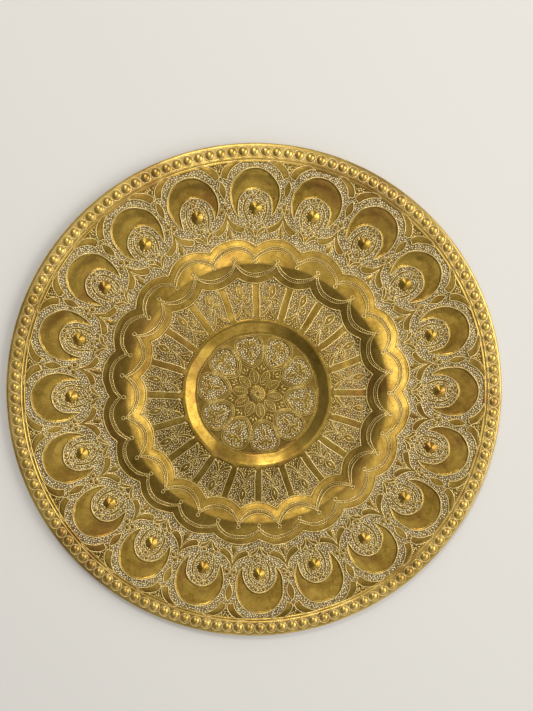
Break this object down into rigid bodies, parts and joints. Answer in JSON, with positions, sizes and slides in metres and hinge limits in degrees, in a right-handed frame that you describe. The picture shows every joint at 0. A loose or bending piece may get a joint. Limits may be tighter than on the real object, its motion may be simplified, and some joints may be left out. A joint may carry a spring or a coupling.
{
  "type": "wall charger",
  "caption": "Large round chased brass charger with a beaded rim, a band of crescents, a scalloped ridge and a sunk medallion.",
  "frame": {"origin": "centre of the round outline, at the level that the underside rests on", "axes": "+Z along the plate's axis, out of its decorated face; +Y from the centre to the middle of one crescent, which is the top when it hangs; X and Y in the plane of the rim"},
  "size_m": [0.4571, 0.4572, 0.0105],
  "materials": {
    "old_brass": "aged, hand polished",
    "edge_wire": "dull"
  },
  "bodies": {
    "root": {"plate": "old_brass", "rim_wire": "edge_wire"}
  },
  "joints": []
}
